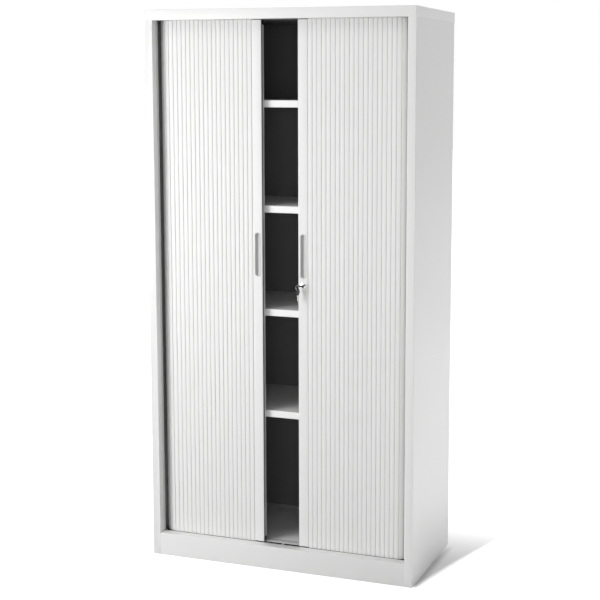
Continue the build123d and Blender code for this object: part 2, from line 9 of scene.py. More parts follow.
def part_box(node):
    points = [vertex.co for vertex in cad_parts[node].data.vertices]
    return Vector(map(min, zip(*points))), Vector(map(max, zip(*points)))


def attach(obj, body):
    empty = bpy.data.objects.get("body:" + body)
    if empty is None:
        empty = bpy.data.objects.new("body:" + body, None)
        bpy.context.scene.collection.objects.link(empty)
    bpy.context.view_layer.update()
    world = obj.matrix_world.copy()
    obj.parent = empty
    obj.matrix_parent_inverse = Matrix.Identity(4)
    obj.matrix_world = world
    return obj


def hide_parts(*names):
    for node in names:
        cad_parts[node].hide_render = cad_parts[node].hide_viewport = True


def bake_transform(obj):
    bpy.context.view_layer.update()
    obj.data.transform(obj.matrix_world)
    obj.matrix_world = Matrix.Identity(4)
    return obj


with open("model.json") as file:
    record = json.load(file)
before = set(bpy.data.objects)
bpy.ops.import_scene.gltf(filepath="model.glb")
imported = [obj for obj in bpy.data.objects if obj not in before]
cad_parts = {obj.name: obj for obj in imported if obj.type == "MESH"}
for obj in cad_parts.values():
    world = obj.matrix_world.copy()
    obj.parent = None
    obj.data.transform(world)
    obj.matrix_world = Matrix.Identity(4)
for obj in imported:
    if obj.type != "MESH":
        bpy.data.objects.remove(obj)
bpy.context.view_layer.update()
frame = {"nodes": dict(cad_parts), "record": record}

# Metres. X to the right as seen from the front, Y to the back, Z up.
# Door pieces are modelled beside the line where both doors meet, for a right door with its
# closing edge at x = 0, and then carried out to their own door.

# Slats and their path
SLAT_PITCH = 0.0168
SLAT_THICKNESS = 0.007
SLAT_COUNT = 26
SLAT_GAP = 0.0009
PIVOT_INSET = 0.00195
SLAT_BODY_END = SLAT_PITCH - PIVOT_INSET - SLAT_GAP
SLAT_ROUND = 0.0013
NECK_HALF = 0.00055
BEAD_HALF = 0.0014
MOUTH_HALF = 0.0012
SOCKET_HALF = 0.0017
SOCKET_LIP = 0.0004
BEND_START = 0.424
BEND_RADIUS = 0.052
BEND_LENGTH = BEND_RADIUS * math.pi / 2
BEND_SHARE = 0.07

# Stiles
STILE_WIDTH = 0.036
STILE_MIDDLE = STILE_WIDTH / 2
STILE_ROUND = 0.0022
STILE_BACK_ROUND = 0.0006
STILE_WALL = 0.002
NOTCH_HEIGHT = 0.016
NOTCH_WALL = 0.005
BUFFER_GROOVE = (0.003, 0.012)
BUFFER_GROOVE_DEPTH = 0.0012
HOOK_BEHIND = 0.0184
HOOK_PLAY_FRONT = 0.0008
HOOK_PLAY_BACK = 0.0022
HOOK_BELOW = 0.005
HOOK_ABOVE = 0.0285
HOOK_PAST_WALL = 0.0005

# Grips
GRIP_HEIGHT = 0.158
GRIP_WIDTH = 0.024
GRIP_LAP_ACROSS = 0.0034
GRIP_LAP_ALONG = 0.0044
GRIP_RIM = 0.0012
GRIP_RIM_ROUND = 0.0007
GRIP_DEPTH = 0.014
GRIP_WALL = 0.0033
GRIP_BACK_INSET = 0.0019
GRIP_BACK_ROUND = 0.003
GRIP_FLOOR_LIFT = 0.0002
GRIP_FLOOR_ROUND = 0.0022
GRIP_RISE = 0.0075
GRIP_UNDERCUT = 0.001
GRIP_SIDES = 40

# Sliders: across from the closing edge, deep from the stile's front
SLIDER_PLAY = 0.0002
SLIDER_EDGE = 0.0004
SHOULDER_ACROSS = (0.0004, STILE_WIDTH - 0.0054)
SHOULDER_FRONT = 0.0022
SHOULDER_BACK = 0.0005
SPIGOT_ACROSS = (0.003, STILE_WIDTH - 0.006)
SPIGOT_INSET = 0.003
SPIGOT_HEIGHT = 0.0152
TONGUE_ACROSS = (0.0036, STILE_WIDTH - 0.012)
TONGUE_DEEP = (0.0001, 0.0069)

# Lock
LOCK_HOLE_RADIUS = 0.0091
LOCK_HOLE_DEPTH = 0.008
ROSE_RADIUS = 0.011
ROSE_HEIGHT = 0.002
ROSE_ROUND = 0.0007
BARREL_RADIUS = 0.009
BARREL_DEPTH = 0.018
BORE_FRONT = 0.004
BORE_PAST = 0.002
PLUG_RADIUS = 0.0065
PLUG_PLAY = 0.00005
PLUG_HEIGHT = 0.0022
PLUG_PAST = 0.0002
PLUG_ROUND = 0.0003
KEYWAY_HALF = 0.0043
KEYWAY_PLAY = 0.0002
KEYWAY_END = 0.002
SQUARE_HALF = 0.003
SQUARE_LENGTH = 0.0021

# Keys and ring
HEAD_THICKNESS = 0.0034
HEAD_EDGE = 0.0006
BOW_RADIUS = 0.012
BOW_SLOT_OFFSET = 0.0035
BOW_SLOT_RADIUS = 0.0028
BOW_SLOT_REACH = 0.0062
BOW_SLOT_SIDES = 32
COLLAR_HALF = 0.006
COLLAR_PAST = 0.0002
KEY_THICKNESS = 0.0022
KEY_EDGE = 0.00012
SHOULDER_HALF = 0.005
SHOULDER_LENGTH = 0.005
BLADE_HALF = 0.004
BLADE_LENGTH = 0.0175
BLADE_ROOT = 0.0005
BLADE_TIP = 0.0025
BIT_COUNT = 4
BIT_START = 0.004
BIT_PITCH = 0.003
BIT_RADIUS = 0.00113
BIT_SIDES = 4
MILLED_ACROSS = (-0.0026, -0.0011)
MILLED_DEPTH = 0.0005
KEY_CUTTER = 0.01
RING_WIRE = 0.0008

# Rivets
RIVET_ROWS = 9
RIVET_PITCH = 0.22
RIVET_RADIUS = 0.0032
RIVET_SIDES = 24
RIVET_ROUND = 0.0005
RIVET_RIM_EDGE = 0.0006
MANDREL_INSET = 0.0019
MANDREL_SUNK = 0.0004

# Edges of sheets and mouldings, in metres and degrees
SHEET_EDGE = 0.0002
MOULDED_EDGE = 0.0004
CUT_EDGE_ANGLE = 40
FOLD_ANGLE = 35
FLAT_ANGLE = 0.5

# Modelling. OVERLAP is how far cutters pass a face and fused pieces enter one another
OVERLAP = 0.001
ROUND_SIDES = 64
FACING = 0.9
STRAIGHT = 0.999
ON_PLANE = 1e-5
SAME_POINT = 1e-6
X_AXIS = 0
Y_AXIS = 1
Z_AXIS = 2
ALONG_Y = (math.pi / 2, 0, 0)
ALONG_Z = (0, 0, 0)


def centre_of(node):
    """The middle of a node's box."""
    low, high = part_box(node)
    return (Vector(low) + Vector(high)) / 2


# Places taken from the frame
stile_low, stile_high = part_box("right_stile")
slat_low, slat_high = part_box("right_tambour")
left_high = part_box("left_stile")[1]
DOOR_FRONT = stile_low.y
STILE_BACK = stile_high.y
STILE_BOTTOM = stile_low.z
STILE_TOP = stile_high.z
SLAT_BOTTOM = slat_low.z
SLAT_TOP = slat_high.z
DOOR_LINE = DOOR_FRONT + SLAT_THICKNESS / 2
BEND_CENTRE_Y = DOOR_LINE + BEND_RADIUS
OPENINGS = {"left": -left_high.x, "right": stile_low.x}
GRIP_CENTRE_Z = centre_of("right_grip_cup").z
LOCK_Z = centre_of("lock_housing").z
MIDDLE_Z = (STILE_BOTTOM + STILE_TOP) / 2
HOOK_FRONT = DOOR_FRONT + HOOK_BEHIND
HOOK_SLOT = (LOCK_Z - HOOK_BELOW, LOCK_Z + HOOK_ABOVE)


# Modelling helpers

def nothing_selected():
    """Deselects every object."""
    bpy.ops.object.select_all(action="DESELECT")


def settled(piece, name):
    """Names the piece and puts its place and size into its mesh."""
    piece.name = name
    piece.data.name = name
    bpy.ops.object.transform_apply(location=True, rotation=True, scale=True)
    return piece


def block(name, low, high):
    """A box between two corners, to be shaped further."""
    nothing_selected()
    low = Vector(low)
    high = Vector(high)
    bpy.ops.mesh.primitive_cube_add(size=1, location=(low + high) / 2)
    piece = bpy.context.object
    piece.scale = high - low
    return settled(piece, name)


def rod(name, centre, radius, depth, turn=ALONG_Y, sides=48):
    """A round bar about its centre, along Y unless turned otherwise."""
    nothing_selected()
    bpy.ops.mesh.primitive_cylinder_add(
        vertices=sides, radius=radius, depth=depth, location=centre, rotation=turn
    )
    return settled(bpy.context.object, name)


def edit(piece):
    """Opens the piece in edit mode."""
    nothing_selected()
    bpy.context.view_layer.objects.active = piece
    piece.select_set(True)
    bpy.ops.object.mode_set(mode="EDIT")


def close_edit():
    """Back to object mode."""
    bpy.ops.object.mode_set(mode="OBJECT")


def choose(kind, test):
    """Selects only the faces or edges that pass the test, which gets each one."""
    bpy.ops.mesh.select_mode(type=kind)
    bpy.ops.mesh.select_all(action="DESELECT")
    data = bpy.context.object.data
    mesh = bmesh.from_edit_mesh(data)
    parts = mesh.faces if kind == "FACE" else mesh.edges
    for part in parts:
        part.select_set(bool(test(part)))
    bmesh.update_edit_mesh(data)


def middle(part):
    """The middle point of an edge or a face."""
    return sum((v.co for v in part.verts), Vector()) / len(part.verts)


def is_along(edge, axis):
    """True for an edge that runs along the axis."""
    run = (edge.verts[1].co - edge.verts[0].co).normalized()
    return abs(run[axis]) > STRAIGHT


def choose_rim(y, shortest=0.0):
    """Selects the edges in the upright plane at this depth that are longer than the shortest."""
    choose(
        "EDGE",
        lambda edge: edge.calc_length() > shortest and abs(middle(edge).y - y) < ON_PLANE
        and not is_along(edge, Y_AXIS),
    )


def slice_all(point, normal):
    """Cuts new edges where the plane crosses the piece."""
    bpy.ops.mesh.select_all(action="SELECT")
    bpy.ops.mesh.bisect(plane_co=point, plane_no=normal)


def pull(x=0, y=0, z=0):
    """Extrudes the selected faces."""
    bpy.ops.mesh.extrude_region_move(TRANSFORM_OT_translate={"value": (x, y, z)})


def stretch(x=1, y=1, z=1, about=(0, 0, 0)):
    """Scales what is selected about a point."""
    bpy.ops.transform.resize(value=(x, y, z), center_override=about)


def round_off(width, steps=3):
    """Bevels the selected edges."""
    bpy.ops.mesh.bevel(offset=width, segments=steps, affect="EDGES")


def pull_apart(piece, axis, reach, is_far):
    """Moves the points that pass the test forwards along the axis, and the others back."""
    edit(piece)
    mesh = bmesh.from_edit_mesh(piece.data)
    for vertex in mesh.verts:
        vertex.co[axis] += reach if is_far(vertex.co) else -reach
    bmesh.update_edit_mesh(piece.data)
    close_edit()


def cut(piece, *cutters):
    """Takes the cutters out of the piece and deletes them."""
    for cutter in cutters:
        apply_modifier(piece, "BOOLEAN", operation="DIFFERENCE", object=cutter, solver="EXACT")
        bpy.data.objects.remove(cutter)


def join_up(piece, *others):
    """Fuses the others into the piece."""
    for other in others:
        apply_modifier(piece, "BOOLEAN", operation="UNION", object=other, solver="EXACT")
        bpy.data.objects.remove(other)


def apply_modifier(piece, kind, **settings):
    """Adds a modifier and applies it."""
    nothing_selected()
    bpy.context.view_layer.objects.active = piece
    piece.select_set(True)
    modifier = piece.modifiers.new(kind.title(), kind)
    for setting, value in settings.items():
        setattr(modifier, setting, value)
    bpy.ops.object.modifier_apply(modifier=modifier.name)


def ease_edges(piece, width, steps=2, angle=35):
    """A small round on every edge sharper than the angle."""
    apply_modifier(
        piece, "BEVEL", width=width, segments=steps, limit_method="ANGLE",
        angle_limit=math.radians(angle), harden_normals=False,
    )


def smooth(piece, angle=30):
    """Smooth shading except across sharp edges."""
    nothing_selected()
    bpy.context.view_layer.objects.active = piece
    piece.select_set(True)
    bpy.ops.object.shade_smooth_by_angle(angle=math.radians(angle))


def painted(piece, material):
    """Gives the piece its one material."""
    piece.data.materials.clear()
    piece.data.materials.append(material)


def placed_copy(pattern, name, matrix):
    """A copy of the pattern with its own mesh, moved by the matrix and turned outwards."""
    mesh = pattern.data.copy()
    mesh.transform(matrix)
    if matrix.determinant() < 0:
        mesh.flip_normals()
    mesh.name = name
    piece = bpy.data.objects.new(name, mesh)
    bpy.context.scene.collection.objects.link(piece)
    return piece


def door_matrix(side):
    """Carries door pieces from the meeting line out to the left or the right door."""
    if side == "right":
        return Matrix.Translation((OPENINGS[side], 0, 0))
    mirrored = Matrix.Diagonal((-1, 1, 1, 1))
    return Matrix.Translation((-OPENINGS[side], 0, 0)) @ mirrored


# Materials

# Patterns per metre on the object's own coordinates
CLOUD_SCALE = 5.0
SHEEN_SCALE = 90.0
PEEL_SCALE = 420.0
MOTTLE_SCALE = 260.0
DRAWN_SCALE = (900.0, 900.0, 4.0)
SCRATCH_SCALE = (2500.0, 140.0, 2500.0)
DULL_PATCH = 0.86


def new_group(name, inputs, outputs):
    """An empty shader node group with its sockets, and its two end nodes."""
    group = bpy.data.node_groups.new(name, "ShaderNodeTree")
    for socket, kind, value in inputs:
        made = group.interface.new_socket(socket, in_out="INPUT", socket_type=kind)
        made.default_value = value
    for socket, kind in outputs:
        group.interface.new_socket(socket, in_out="OUTPUT", socket_type=kind)
    start = group.nodes.new("NodeGroupInput")
    end = group.nodes.new("NodeGroupOutput")
    return group, start, end


def noise(group, vector, scale, detail=2.0, roughness=0.5):
    """A noise texture on the given vector; returns its value."""
    node = group.nodes.new("ShaderNodeTexNoise")
    node.inputs["Detail"].default_value = detail
    node.inputs["Roughness"].default_value = roughness
    group.links.new(vector, node.inputs["Vector"])
    if isinstance(scale, (int, float)):
        node.inputs["Scale"].default_value = scale
    else:
        group.links.new(scale, node.inputs["Scale"])
    return node.outputs["Fac"]


def ranged(group, value, low, high):
    """Maps 0..1 to low..high, which are numbers or sockets."""
    node = group.nodes.new("ShaderNodeMapRange")
    group.links.new(value, node.inputs["Value"])
    for socket, bound in (("To Min", low), ("To Max", high)):
        if isinstance(bound, (int, float)):
            node.inputs[socket].default_value = bound
        else:
            group.links.new(bound, node.inputs[socket])
    return node.outputs["Result"]


def stretched_vector(group, vector, scale):
    """The vector scaled unevenly, for streaks."""
    node = group.nodes.new("ShaderNodeVectorMath")
    node.operation = "MULTIPLY"
    group.links.new(vector, node.inputs[0])
    node.inputs[1].default_value = scale
    return node.outputs["Vector"]


def math_node(group, operation, first, second):
    """A math node on two sockets or numbers."""
    node = group.nodes.new("ShaderNodeMath")
    node.operation = operation
    for index, value in enumerate((first, second)):
        if isinstance(value, (int, float)):
            node.inputs[index].default_value = value
        else:
            group.links.new(value, node.inputs[index])
    return node.outputs["Value"]


def tinted(group, colour, amount):
    """The colour made lighter or darker by a value around 1."""
    node = group.nodes.new("ShaderNodeVectorMath")
    node.operation = "SCALE"
    group.links.new(colour, node.inputs["Vector"])
    group.links.new(amount, node.inputs["Scale"])
    return node.outputs["Vector"]


def lacquer_group():
    """Powder coat: orange peel, faint clouds of tone and a slightly uneven sheen."""
    group, start, end = new_group(
        "Lacquer skin",
        [
            ("Vector", "NodeSocketVector", (0, 0, 0)),
            ("Colour", "NodeSocketColor", (0.8, 0.8, 0.8, 1)),
            ("Sheen Low", "NodeSocketFloat", 0.3),
            ("Sheen High", "NodeSocketFloat", 0.45),
            ("Peel Scale", "NodeSocketFloat", PEEL_SCALE),
            ("Cloud", "NodeSocketFloat", 0.012),
        ],
        [
            ("Colour", "NodeSocketColor"),
            ("Roughness", "NodeSocketFloat"),
            ("Height", "NodeSocketFloat"),
        ],
    )
    vector = start.outputs["Vector"]
    clouds = noise(group, vector, CLOUD_SCALE, detail=4.0)
    fine = noise(group, vector, SHEEN_SCALE)
    darker = math_node(group, "SUBTRACT", 1.0, start.outputs["Cloud"])
    lighter = math_node(group, "ADD", 1.0, start.outputs["Cloud"])
    amount = ranged(group, clouds, darker, lighter)
    group.links.new(tinted(group, start.outputs["Colour"], amount), end.inputs["Colour"])
    sheen = ranged(group, fine, start.outputs["Sheen Low"], start.outputs["Sheen High"])
    group.links.new(sheen, end.inputs["Roughness"])
    peel = noise(group, vector, start.outputs["Peel Scale"])
    group.links.new(peel, end.inputs["Height"])
    return group


def moulded_group():
    """Extruded or moulded plastic: fine lines along the length and a soft mottle."""
    group, start, end = new_group(
        "Moulded skin",
        [
            ("Vector", "NodeSocketVector", (0, 0, 0)),
            ("Colour", "NodeSocketColor", (0.8, 0.8, 0.8, 1)),
            ("Sheen Low", "NodeSocketFloat", 0.35),
            ("Sheen High", "NodeSocketFloat", 0.5),
            ("Line Depth", "NodeSocketFloat", 0.02),
        ],
        [
            ("Colour", "NodeSocketColor"),
            ("Roughness", "NodeSocketFloat"),
            ("Height", "NodeSocketFloat"),
        ],
    )
    vector = start.outputs["Vector"]
    drawn = stretched_vector(group, vector, DRAWN_SCALE)
    lines = noise(group, drawn, 1.0)
    mottle = noise(group, vector, MOTTLE_SCALE)
    darker = math_node(group, "SUBTRACT", 1.0, start.outputs["Line Depth"])
    amount = ranged(group, lines, darker, 1.0)
    group.links.new(tinted(group, start.outputs["Colour"], amount), end.inputs["Colour"])
    sheen = ranged(group, mottle, start.outputs["Sheen Low"], start.outputs["Sheen High"])
    group.links.new(sheen, end.inputs["Roughness"])
    group.links.new(math_node(group, "ADD", lines, mottle), end.inputs["Height"])
    return group


def worked_metal_group():
    """Plated or drawn metal: hair-fine scratches and dull patches."""
    group, start, end = new_group(
        "Worked metal",
        [
            ("Vector", "NodeSocketVector", (0, 0, 0)),
            ("Colour", "NodeSocketColor", (0.8, 0.8, 0.8, 1)),
            ("Sheen Low", "NodeSocketFloat", 0.1),
            ("Sheen High", "NodeSocketFloat", 0.25),
            ("Patch Scale", "NodeSocketFloat", 120.0),
        ],
        [
            ("Colour", "NodeSocketColor"),
            ("Roughness", "NodeSocketFloat"),
            ("Height", "NodeSocketFloat"),
        ],
    )
    vector = start.outputs["Vector"]
    patches = noise(group, vector, start.outputs["Patch Scale"], detail=4.0, roughness=0.6)
    scratched = stretched_vector(group, vector, SCRATCH_SCALE)
    scratches = noise(group, scratched, 1.0)
    amount = ranged(group, patches, DULL_PATCH, 1.0)
    group.links.new(tinted(group, start.outputs["Colour"], amount), end.inputs["Colour"])
    sheen = ranged(group, patches, start.outputs["Sheen Low"], start.outputs["Sheen High"])
    group.links.new(sheen, end.inputs["Roughness"])
    group.links.new(scratches, end.inputs["Height"])
    return group


LACQUER = lacquer_group()
MOULDED = moulded_group()
WORKED = worked_metal_group()


def finish(name, group, colour, values, bump, bump_distance, **surface):
    """A material whose colour, roughness and relief come from one of the groups."""
    material = bpy.data.materials.new(name)
    material.use_nodes = True
    nodes = material.node_tree.nodes
    links = material.node_tree.links
    shader = nodes["Principled BSDF"]
    for socket, value in surface.items():
        shader.inputs[socket.replace("_", " ")].default_value = value
    place = nodes.new("ShaderNodeTexCoord")
    skin = nodes.new("ShaderNodeGroup")
    skin.node_tree = group
    links.new(place.outputs["Object"], skin.inputs["Vector"])
    skin.inputs["Colour"].default_value = (*colour, 1)
    for socket, value in values.items():
        skin.inputs[socket].default_value = value
    relief = nodes.new("ShaderNodeBump")
    relief.inputs["Strength"].default_value = bump
    relief.inputs["Distance"].default_value = bump_distance
    links.new(skin.outputs["Height"], relief.inputs["Height"])
    links.new(skin.outputs["Colour"], shader.inputs["Base Color"])
    links.new(skin.outputs["Roughness"], shader.inputs["Roughness"])
    links.new(relief.outputs["Normal"], shader.inputs["Normal"])
    return material


def lacquer(name, colour, low, high, cloud=0.012):
    """A powder-coated sheet steel."""
    values = {"Sheen Low": low, "Sheen High": high, "Cloud": cloud}
    return finish(name, LACQUER, colour, values, bump=0.25, bump_distance=0.00012)


def moulding(name, colour, low, high, lines=0.02):
    """A plastic moulding or extrusion."""
    values = {"Sheen Low": low, "Sheen High": high, "Line Depth": lines}
    return finish(name, MOULDED, colour, values, bump=0.2, bump_distance=0.00008)


def metal(name, colour, low, high, patches):
    """A bare or plated metal."""
    values = {"Sheen Low": low, "Sheen High": high, "Patch Scale": patches}
    return finish(
        name, WORKED, colour, values, bump=0.15, bump_distance=0.00003, Metallic=1.0
    )


white_lacquer = lacquer("white_lacquer", (0.82, 0.82, 0.815), 0.32, 0.42)
# The shelves' white is lighter than the carcass's same lacquer: painted light that brightens
# their front edges.
lit_shelf_lacquer = lacquer("lit_shelf_lacquer", (0.9, 0.9, 0.895), 0.32, 0.42)
# The liners' dark grey paints the shade inside the cabinet.
interior_shade_lacquer = lacquer("interior_shade_lacquer", (0.21, 0.21, 0.215), 0.4, 0.5, 0.06)
slat_plastic = moulding("slat_plastic", (0.83, 0.83, 0.825), 0.38, 0.48)
stile_plastic = moulding("stile_plastic", (0.83, 0.83, 0.825), 0.36, 0.46, 0.015)
white_moulding = moulding("white_moulding", (0.8, 0.8, 0.79), 0.35, 0.45)
# The grip cups are greyer than the white mouldings: painted shade that darkens their hollows.
grip_shade_grey = moulding("grip_shade_grey", (0.66, 0.66, 0.655), 0.35, 0.45)
trim_plastic = moulding("trim_plastic", (0.62, 0.62, 0.61), 0.35, 0.45)
black_moulding = moulding("black_moulding", (0.014, 0.014, 0.015), 0.35, 0.5, 0.1)
buffer_rubber = moulding("buffer_rubber", (0.1, 0.1, 0.1), 0.6, 0.75, 0.1)
galvanised_steel = metal("galvanised_steel", (0.5, 0.52, 0.54), 0.35, 0.6, 60.0)
zinc_plate = metal("zinc_plate", (0.62, 0.62, 0.6), 0.2, 0.4, 300.0)
chrome_plate = metal("chrome_plate", (0.78, 0.78, 0.78), 0.05, 0.12, 200.0)
nickel_plate = metal("nickel_plate", (0.68, 0.66, 0.62), 0.12, 0.24, 300.0)

FINISHES = {
    "white_powder_coat": white_lacquer,
    "anthracite_powder_coat": interior_shade_lacquer,
    "galvanised_sheet": galvanised_steel,
    "black_moulding": black_moulding,
    "white_moulding": white_moulding,
    "white_slat": slat_plastic,
    "white_stile": stile_plastic,
    "grey_trim": trim_plastic,
    "grey_buffer": buffer_rubber,
    "chromed_lock": chrome_plate,
    "zinc_plated": zinc_plate,
    "nickel_key": nickel_plate,
}
SLOTS = {entry["node"]: entry["material_slot"] for entry in frame["record"]["subparts"]}


def finish_the_frame():
    """Every node of the frame gets the finish of its own slot."""
    for node, slot in SLOTS.items():
        painted(frame["nodes"][node], FINISHES[slot])


# Folded sheets, mouldings and hardware that keep the frame's shape

SHEETS = (
    "top_cap", "left_side_panel", "right_side_panel", "plinth_front", "plinth_rear",
    "back_panel", "base_pan", "top_pan", "base_deck", "top_deck",
    "left_inner_liner", "right_inner_liner", "back_liner",
)
SHELVES = ("shelf_1", "shelf_2", "shelf_3", "shelf_4")
MOULDINGS = (
    "left_edge_trim", "right_edge_trim", "bottom_track_left", "bottom_track_right",
    "top_track_left", "top_track_right", "bottom_centre_stop", "top_centre_stop",
    "foot_pads", "foot_hole_caps",
)
HARDWARE = ("foot_studs", "foot_nuts", "shelf_clips")


def eased_node(node, body, edge, material):
    """A node's own shape joined up, its cut edges softened and its folds shaded smooth."""
    piece = placed_copy(frame["nodes"][node], f"{node}_shape", Matrix())
    edit(piece)
    bpy.ops.mesh.select_all(action="SELECT")
    bpy.ops.mesh.remove_doubles(threshold=SAME_POINT)
    bpy.ops.mesh.dissolve_limited(angle_limit=math.radians(FLAT_ANGLE))
    close_edit()
    ease_edges(piece, edge, angle=CUT_EDGE_ANGLE)
    smooth(piece, FOLD_ANGLE)
    painted(piece, material)
    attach(piece, body)
    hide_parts(node)


def body_pieces():
    """Carcass, shelves, tracks and feet."""
    for nodes, edge in ((SHEETS, SHEET_EDGE), (MOULDINGS, MOULDED_EDGE), (HARDWARE, SHEET_EDGE)):
        for node in nodes:
            eased_node(node, "cabinet", edge, FINISHES[SLOTS[node]])
    # The shelves take the lighter white, painted light on their front edges.
    for node in SHELVES:
        eased_node(node, "cabinet", SHEET_EDGE, lit_shelf_lacquer)


def door_hardware():
    """The buffer strip and strike on the left door, the hook bolt on the lock."""
    for node, body in (
        ("left_buffer_strip", "left_door"), ("strike_plate", "left_door"),
        ("hook_cam", "lock"), ("cam_screw", "lock"),
    ):
        eased_node(node, body, SHEET_EDGE, FINISHES[SLOTS[node]])


# Slats

def slat_pattern(has_bead):
    """One slat, front towards -Y, turning on the pivot at x = 0, y = 0."""
    half = SLAT_THICKNESS / 2
    piece = block(
        "slat_pattern", (-PIVOT_INSET, -half, SLAT_BOTTOM), (SLAT_BODY_END, half, SLAT_TOP)
    )
    edit(piece)
    choose("EDGE", lambda edge: is_along(edge, Z_AXIS))
    round_off(SLAT_ROUND)
    for y in (-MOUTH_HALF, -NECK_HALF, NECK_HALF, MOUTH_HALF):
        slice_all((0, y, 0), (0, 1, 0))
    carve_socket()
    if has_bead:
        grow_bead(SLAT_BODY_END, SLAT_PITCH)
    close_edit()
    smooth(piece)
    return piece


def carve_socket():
    """Pushes the mouth in from the near edge and opens it out inside."""
    choose(
        "FACE",
        lambda face: face.normal.x < -FACING and abs(middle(face).y) < MOUTH_HALF,
    )
    mouth = PIVOT_INSET - SOCKET_HALF
    opened = SOCKET_HALF / MOUTH_HALF
    pull(x=mouth)
    pull(x=SOCKET_LIP)
    stretch(y=opened)
    pull(x=2 * SOCKET_HALF)


def grow_bead(start_x, pivot_x, centre_y=0):
    """Pulls the neck and the bead out of the far edge."""
    choose(
        "FACE",
        lambda face: face.normal.x > FACING and abs(middle(face).y - centre_y) < NECK_HALF,
    )
    widened = BEAD_HALF / NECK_HALF
    around = (0, centre_y, 0)
    pull(x=pivot_x - start_x - BEAD_HALF)
    pull(x=BEAD_HALF * 0.5)
    stretch(y=widened, about=around)
    pull(x=BEAD_HALF)
    pull(x=BEAD_HALF * 0.5)
    stretch(y=1 / widened, about=around)


def path_point(distance):
    """The point on the right door's path at a distance from the meeting line."""
    along_bend = distance - BEND_START
    if along_bend <= 0:
        return Vector((distance, DOOR_LINE, 0))
    if along_bend <= BEND_LENGTH:
        turn = along_bend / BEND_RADIUS
        x = BEND_START + BEND_RADIUS * math.sin(turn)
        return Vector((x, BEND_CENTRE_Y - BEND_RADIUS * math.cos(turn), 0))
    return Vector((BEND_START + BEND_RADIUS, BEND_CENTRE_Y + along_bend - BEND_LENGTH, 0))


def travel_share(distance, first_pivot):
    """How much of the stile's travel a point of the tambour takes, from 1 down to 0."""
    if distance <= BEND_START:
        part_way = (distance - first_pivot) / (BEND_START - first_pivot)
        return 1 + (BEND_SHARE - 1) * part_way
    bend_end = BEND_START + BEND_LENGTH
    return max(0.0, BEND_SHARE * (bend_end - distance) / (bend_end - BEND_START))


def follow_the_stile(slat, near_share):
    """Pins a slat that takes none of the stile's travel to the cabinet, and bakes the place of
    the others into their mesh.
    """
    if near_share <= 0.0:
        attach(slat, "cabinet")
        return
    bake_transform(slat)


def tambour(side):
    """The slats of one door from the stile round the bend."""
    first_pivot = OPENINGS[side] + STILE_WIDTH + SLAT_GAP + PIVOT_INSET
    mirrored = Matrix.Diagonal((-1 if side == "left" else 1, 1, 1, 1))
    patterns = {True: slat_pattern(True), False: slat_pattern(False)}
    for number in range(SLAT_COUNT):
        near_distance = first_pivot + number * SLAT_PITCH
        far_distance = near_distance + SLAT_PITCH
        near = path_point(near_distance)
        far = path_point(far_distance)
        heading = math.atan2(far.y - near.y, far.x - near.x)
        matrix = mirrored @ Matrix.Translation(near) @ Matrix.Rotation(heading, 4, "Z")
        pattern = patterns[number < SLAT_COUNT - 1]
        slat = placed_copy(pattern, f"{side}_slat_{number + 1:02d}", matrix)
        painted(slat, slat_plastic)
        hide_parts(f"{side}_tambour")
        follow_the_stile(
            slat,
            travel_share(near_distance, first_pivot),
        )
    for pattern in patterns.values():
        bpy.data.objects.remove(pattern)


# Stiles

def pill(name, width, height, y0, y1):
    """An upright round-ended bar at the grip, between two depths."""
    centre = (STILE_MIDDLE, (y0 + y1) / 2, GRIP_CENTRE_Z)
    piece = rod(name, centre, width / 2, y1 - y0, sides=GRIP_SIDES)
    pull_apart(piece, Z_AXIS, (height - width) / 2, lambda place: place.z > GRIP_CENTRE_Z)
    return piece


def stile_body():
    """The hollow leading stile with the bead for the first slat and the grip opening."""
    piece = block(
        "stile", (0, DOOR_FRONT, STILE_BOTTOM), (STILE_WIDTH, STILE_BACK, STILE_TOP)
    )
    edit(piece)
    choose("FACE", lambda face: abs(face.normal.z) > FACING)
    bpy.ops.mesh.delete(type="FACE")
    choose("EDGE", lambda edge: is_along(edge, Z_AXIS) and middle(edge).y < DOOR_LINE)
    round_off(STILE_ROUND, 4)
    close_edit()
    apply_modifier(piece, "SOLIDIFY", thickness=STILE_WALL, offset=-1, use_even_offset=True)
    edit(piece)
    back = STILE_BACK - ON_PLANE
    choose("EDGE", lambda edge: is_along(edge, Z_AXIS) and middle(edge).y > back)
    round_off(STILE_BACK_ROUND, 2)
    for y in (DOOR_LINE - NECK_HALF, DOOR_LINE + NECK_HALF):
        slice_all((0, y, 0), (0, 1, 0))
    grow_bead(STILE_WIDTH, STILE_WIDTH + SLAT_GAP + PIVOT_INSET, DOOR_LINE)
    close_edit()
    grip = pill(
        "grip_cut", GRIP_WIDTH - GRIP_LAP_ACROSS, GRIP_HEIGHT - GRIP_LAP_ALONG,
        DOOR_FRONT - OVERLAP, DOOR_FRONT + STILE_WALL + OVERLAP,
    )
    cut(piece, grip, slider_notch("bottom"), slider_notch("top"))
    return piece


def slider_notch(end):
    """The bite out of a stile's end that the slider fills."""
    low_z = STILE_BOTTOM - OVERLAP
    high_z = STILE_BOTTOM + NOTCH_HEIGHT
    if end == "top":
        low_z = STILE_TOP - NOTCH_HEIGHT
        high_z = STILE_TOP + OVERLAP
    low = (-OVERLAP, DOOR_FRONT + STILE_WALL, low_z)
    high = (STILE_WIDTH - NOTCH_WALL, STILE_BACK + OVERLAP, high_z)
    return block("notch", low, high)


def hook_slot():
    """The slot in the closing edge for the hook bolt."""
    low = (-OVERLAP, HOOK_FRONT - HOOK_PLAY_FRONT, HOOK_SLOT[0])
    high = (STILE_WALL + HOOK_PAST_WALL, HOOK_FRONT + HOOK_PLAY_BACK, HOOK_SLOT[1])
    return block("hook_slot", low, high)


